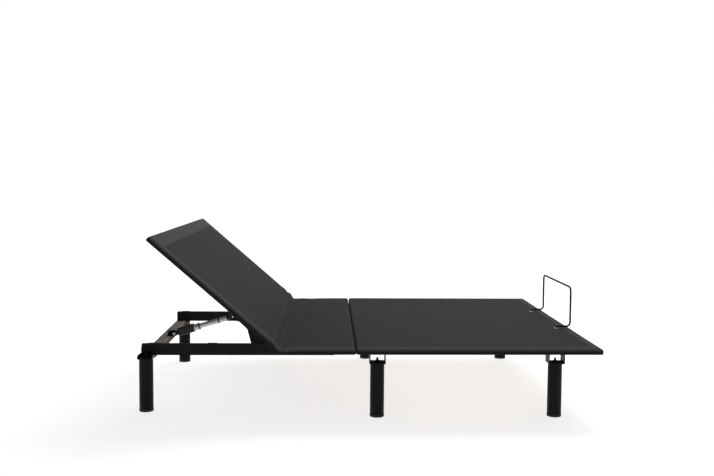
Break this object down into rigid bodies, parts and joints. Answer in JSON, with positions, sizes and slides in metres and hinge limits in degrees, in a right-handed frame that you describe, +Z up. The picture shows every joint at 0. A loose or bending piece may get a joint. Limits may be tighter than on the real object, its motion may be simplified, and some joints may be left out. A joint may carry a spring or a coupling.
{
  "type": "adjustable bed base",
  "caption": "Adjustable bed base with upholstered deck panels, a motor-raised head section, folding steel frame, round legs and a mattress retainer bar.",
  "frame": {"origin": "on the floor under the middle of the whole base as it stands with its head raised", "axes": "+Z up, +X to the foot of the bed, +Y to the far side"},
  "size_m": [1.947, 1.511, 0.7715],
  "materials": {
    "black_steel": "satin black powder coat",
    "crossbar_steel": "light grey powder coat",
    "cover_fabric": "woven charcoal",
    "board_wood": "raw fibreboard",
    "foam": "thin foam sheet",
    "black_plastic": "moulded black",
    "rubber": "matte",
    "rod_grey": "satin",
    "zinc_steel": "zinc plated"
  },
  "bodies": {
    "head_frame": {"head_rail_near": "black_steel", "head_rail_far": "black_steel", "head_crossbar": "crossbar_steel", "hanger_bar": "black_steel", "lift_hangers": "black_steel", "lift_shaft": "zinc_steel", "rail_pads": "rubber", "seat_board": "board_wood", "seat_foam": "foam", "seat_cover": "cover_fabric", "seat_subframe": "black_steel", "seat_hinge_ears": "black_steel", "head_hinge_pins": "zinc_steel", "head_leg_brackets": "black_steel", "head_leg_near": "black_steel", "head_leg_far": "black_steel", "head_leg_studs": "zinc_steel", "head_foot_caps": "rubber", "actuator_bracket": "black_steel", "rear_pin": "zinc_steel", "control_box": "black_plastic", "socket_rims": "black_plastic", "box_straps": "black_steel", "fold_hinge_head_leaves": "black_steel"},
    "head_section": {"head_board": "board_wood", "head_foam": "foam", "head_cover": "cover_fabric", "head_subframe": "black_steel", "head_hinge_ears": "black_steel", "cam_plates": "black_steel"},
    "lift_arm": {"lift_levers": "black_steel", "lift_hub": "black_steel", "roller_axle": "zinc_steel"},
    "lift_rollers": {"lift_rollers": "black_plastic"},
    "actuator_body": {"gear_housing": "black_plastic", "motor_can": "black_plastic", "actuator_collar": "rod_grey", "collar_ring": "black_plastic"},
    "actuator_rod": {"actuator_rod": "rod_grey", "rod_ring": "black_plastic", "rod_end": "black_plastic", "rod_clevis": "rod_grey", "rod_pin": "zinc_steel"},
    "foot_frame": {"foot_board": "board_wood", "foot_foam": "foam", "foot_cover": "cover_fabric", "foot_subframe": "black_steel", "foot_rail_near": "black_steel", "foot_rail_far": "black_steel", "foot_crossbars": "black_steel", "foot_leg_brackets": "black_steel", "mid_leg_near": "black_steel", "mid_leg_far": "black_steel", "foot_leg_near": "black_steel", "foot_leg_far": "black_steel", "foot_leg_studs": "zinc_steel", "foot_foot_caps": "rubber", "fold_hinge_foot_leaves": "black_steel", "retainer_eyelets": "zinc_steel"},
    "retainer_bar": {"retainer_bar": "black_steel"}
  },
  "joints": [
    {"name": "head_incline", "type": "hinge", "parent": "head_frame", "child": "head_section", "pos_m": [-0.3558, 0, 0.296], "axis": [0, 1, 0], "range_deg": [-41, 14]},
    {"name": "lift_arm_turn", "type": "hinge", "parent": "head_frame", "child": "lift_arm", "pos_m": [-0.5055, 0, 0.178], "axis": [0, 1, 0], "range_deg": [-26.34, 9.06]},
    {"name": "roller_spin", "type": "hinge", "parent": "lift_arm", "child": "lift_rollers", "pos_m": [-0.50707, 0, 0.26799], "axis": [0, 1, 0], "continuous": true},
    {"name": "actuator_swing", "type": "hinge", "parent": "head_frame", "child": "actuator_body", "pos_m": [-0.9061, 0, 0.2463], "axis": [0, -1, 0], "range_deg": [-11.17, 3.88]},
    {"name": "actuator_stroke", "type": "slide", "parent": "actuator_body", "child": "actuator_rod", "axis": [0.9594, 0, 0.2821], "range_m": [-0.07072, 0.02428]},
    {"name": "frame_fold", "type": "hinge", "parent": "head_frame", "child": "foot_frame", "pos_m": [-0.0435, 0, 0.272], "axis": [0, 1, 0], "range_deg": [0, 90]},
    {"name": "retainer_lift", "type": "slide", "parent": "foot_frame", "child": "retainer_bar", "axis": [0, 0, 1], "range_m": [0, 0.06]}
  ],
  "couplings": [
    {"joint": "lift_arm_turn", "follows": "head_incline", "ratio": 0.64},
    {"joint": "actuator_swing", "follows": "head_incline", "ratio": 0.27},
    {"joint": "actuator_stroke", "follows": "head_incline", "m_per_rad": 0.098549}
  ]
}
